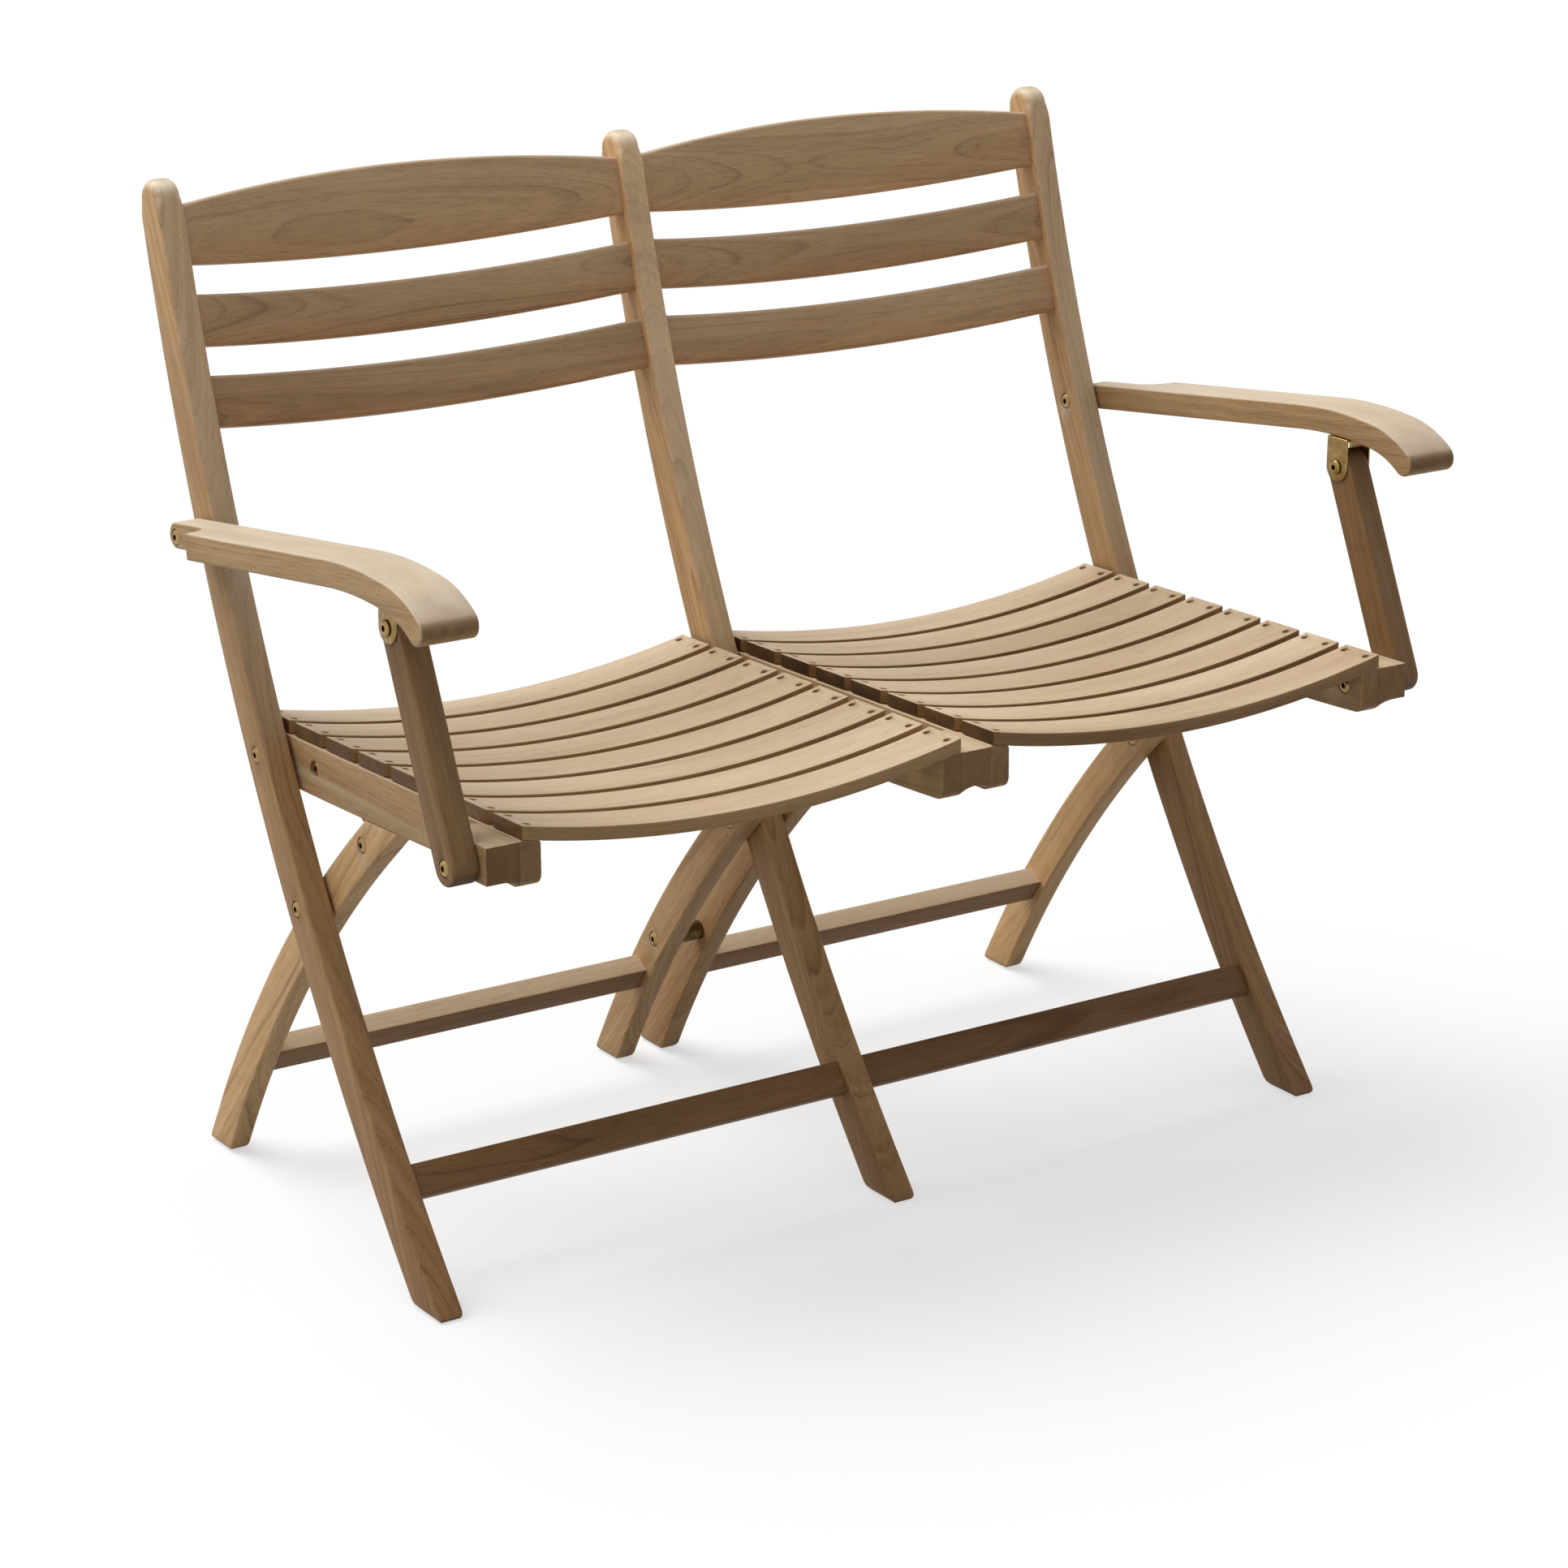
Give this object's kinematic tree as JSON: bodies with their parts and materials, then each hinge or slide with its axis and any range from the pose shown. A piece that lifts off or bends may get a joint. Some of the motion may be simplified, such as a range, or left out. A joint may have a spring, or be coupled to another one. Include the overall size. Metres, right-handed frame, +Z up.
{
  "type": "folding garden bench",
  "caption": "Folding two-seat slatted wooden garden bench with arms, curved posts, dished seats, crossed rear legs and brass pivots; seat, arms and legs fold flat together.",
  "frame": {"origin": "middle of the bench's box, on the floor", "axes": "+Z up, +X along the bench to the sitter's left, which is the viewer's right from the front; the front faces -Y"},
  "size_m": [1.075, 0.5863, 0.8894],
  "materials": {
    "frame_timber": "bare, sanded and oiled",
    "leg_timber": "bare, sanded and oiled",
    "seat_timber": "bare, sanded and oiled",
    "back_timber": "bare, sanded and oiled",
    "arm_timber": "bare, sanded and oiled",
    "brass": "satin, slightly dulled"
  },
  "bodies": {
    "post_frame": {"left_post": "frame_timber", "middle_post": "frame_timber", "right_post": "frame_timber", "left_front_stretcher": "frame_timber", "right_front_stretcher": "frame_timber", "left_back_slat_top": "back_timber", "left_back_slat_middle": "back_timber", "left_back_slat_bottom": "back_timber", "right_back_slat_top": "back_timber", "right_back_slat_middle": "back_timber", "right_back_slat_bottom": "back_timber", "left_seat_pivot_bolt": "brass", "middle_seat_pivot_bolt": "brass", "right_seat_pivot_bolt": "brass", "left_leg_pivot_bolt": "brass", "middle_leg_pivot_bolt": "brass", "right_leg_pivot_bolt": "brass", "left_arm_pivot_bolt": "brass", "right_arm_pivot_bolt": "brass"},
    "seat": {"left_outer_rail": "seat_timber", "left_inner_rail": "seat_timber", "right_inner_rail": "seat_timber", "right_outer_rail": "seat_timber", "left_slat_1": "seat_timber", "left_slat_2": "seat_timber", "left_slat_3": "seat_timber", "left_slat_4": "seat_timber", "left_slat_5": "seat_timber", "left_slat_6": "seat_timber", "left_slat_7": "seat_timber", "left_slat_8": "seat_timber", "right_slat_1": "seat_timber", "right_slat_2": "seat_timber", "right_slat_3": "seat_timber", "right_slat_4": "seat_timber", "right_slat_5": "seat_timber", "right_slat_6": "seat_timber", "right_slat_7": "seat_timber", "right_slat_8": "seat_timber", "left_front_block": "seat_timber", "middle_front_block": "seat_timber", "right_front_block": "seat_timber"},
    "rear_legs": {"left_outer_leg": "leg_timber", "left_inner_leg": "leg_timber", "right_inner_leg": "leg_timber", "right_outer_leg": "leg_timber", "left_rear_stretcher": "leg_timber", "right_rear_stretcher": "leg_timber", "leg_tie_bolt": "brass"},
    "links": {"left_outer_link": "brass", "left_inner_link": "brass", "right_inner_link": "brass", "right_outer_link": "brass"},
    "left_arm": {"left_arm": "arm_timber", "left_bracket": "brass"},
    "right_arm": {"right_arm": "arm_timber", "right_bracket": "brass"},
    "left_support": {"left_support": "arm_timber"},
    "right_support": {"right_support": "arm_timber"}
  },
  "joints": [
    {"name": "seat_fold", "type": "hinge", "parent": "post_frame", "child": "seat", "pos_m": [0, 0.09953, 0.419], "axis": [-1, 0, 0], "range_deg": [0, 100]},
    {"name": "rear_legs_fold", "type": "hinge", "parent": "post_frame", "child": "rear_legs", "pos_m": [0, 0.0318, 0.2985], "axis": [-1, 0, 0], "range_deg": [0, 58.5]},
    {"name": "links_fold", "type": "hinge", "parent": "seat", "child": "links", "pos_m": [0, 0.04639, 0.41646], "axis": [-1, 0, 0], "range_deg": [-129.8, 0]},
    {"name": "left_arm_fold", "type": "hinge", "parent": "post_frame", "child": "left_arm", "pos_m": [0, 0.18267, 0.598], "axis": [-1, 0, 0], "range_deg": [0, 100]},
    {"name": "right_arm_fold", "type": "hinge", "parent": "post_frame", "child": "right_arm", "pos_m": [0, 0.18267, 0.598], "axis": [-1, 0, 0], "range_deg": [0, 100]},
    {"name": "left_support_fold", "type": "hinge", "parent": "seat", "child": "left_support", "pos_m": [0, -0.26742, 0.43002], "axis": [-1, 0, 0], "range_deg": [-100, 0]},
    {"name": "right_support_fold", "type": "hinge", "parent": "seat", "child": "right_support", "pos_m": [0, -0.26742, 0.43002], "axis": [-1, 0, 0], "range_deg": [-100, 0]}
  ],
  "couplings": [
    {"joint": "rear_legs_fold", "follows": "seat_fold", "ratio": 0.5841},
    {"joint": "links_fold", "follows": "seat_fold", "ratio": -1.2967},
    {"joint": "left_arm_fold", "follows": "seat_fold", "ratio": 1},
    {"joint": "right_arm_fold", "follows": "seat_fold", "ratio": 1},
    {"joint": "left_support_fold", "follows": "seat_fold", "ratio": -1},
    {"joint": "right_support_fold", "follows": "seat_fold", "ratio": -1}
  ]
}
